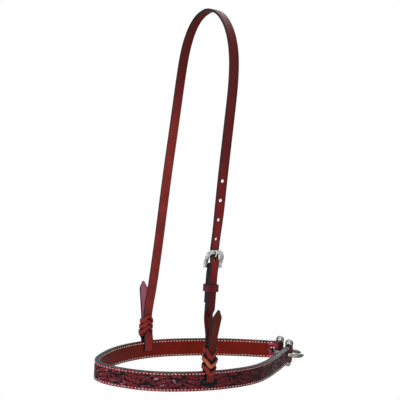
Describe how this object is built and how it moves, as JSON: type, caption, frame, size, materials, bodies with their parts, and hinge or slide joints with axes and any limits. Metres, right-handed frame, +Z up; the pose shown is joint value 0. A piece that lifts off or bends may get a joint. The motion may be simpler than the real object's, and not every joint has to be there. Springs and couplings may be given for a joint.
{
  "type": "bridle noseband",
  "caption": "Tooled leather noseband that hangs from a buckled crown strap knotted through each side, with a round ring behind the chin.",
  "frame": {"origin": "centre of the flat on the inside of the crown strap's top, where it lies on the horse's poll", "axes": "+X from nose to chin, +Y to the horse's far side, the buckle is on the near side at -Y, +Z up"},
  "size_m": [0.3436, 0.2028, 0.5067],
  "materials": {
    "tooled_leather": "dark burgundy, tooled and antiqued, semi-gloss",
    "lining_leather": "smooth brick red, satin",
    "strap_leather": "dark burgundy, satin, black edges",
    "thread": "waxed cream thread",
    "nickel": "bright polished nickel plate"
  },
  "bodies": {
    "hanger": {"crown_strap": "strap_leather", "buckle_strap": "strap_leather", "turn_stitching": "thread"},
    "noseband": {"tooled_outer_band": "tooled_leather", "band_lining": "lining_leather", "outer_top_thread": "thread", "outer_bottom_thread": "thread", "lining_top_thread": "thread", "lining_bottom_thread": "thread", "near_pin": "nickel", "far_pin": "nickel"},
    "chin_ring": {"rear_ring": "nickel"},
    "buckle": {"buckle_frame": "nickel"},
    "tongue": {"buckle_tongue": "nickel"},
    "keeper": {"keeper_loop": "strap_leather"}
  },
  "joints": [
    {"name": "band_swing", "type": "hinge", "parent": "hanger", "child": "noseband", "pos_m": [-0.02322, 0, -0.48344], "axis": [0, 1, 0], "range_deg": [-3.25, 8.75]},
    {"name": "ring_swing", "type": "hinge", "parent": "noseband", "child": "chin_ring", "pos_m": [0.1632, 0, -0.48344], "axis": [0, -1, 0], "range_deg": [0, 14]},
    {"name": "buckle_tip", "type": "hinge", "parent": "hanger", "child": "buckle", "pos_m": [-0.01601, -0.06991, -0.33331], "axis": [0.9988, 0, -0.048], "range_deg": [0, 3]},
    {"name": "tongue_tip", "type": "hinge", "parent": "buckle", "child": "tongue", "pos_m": [-0.01601, -0.06991, -0.33331], "axis": [0.9988, 0, -0.048], "range_deg": [0, 2.5]},
    {"name": "keeper_slide", "type": "slide", "parent": "hanger", "child": "keeper", "axis": [0.0479, 0.0558, 0.9973], "range_m": [-0.028, 0.012]}
  ]
}
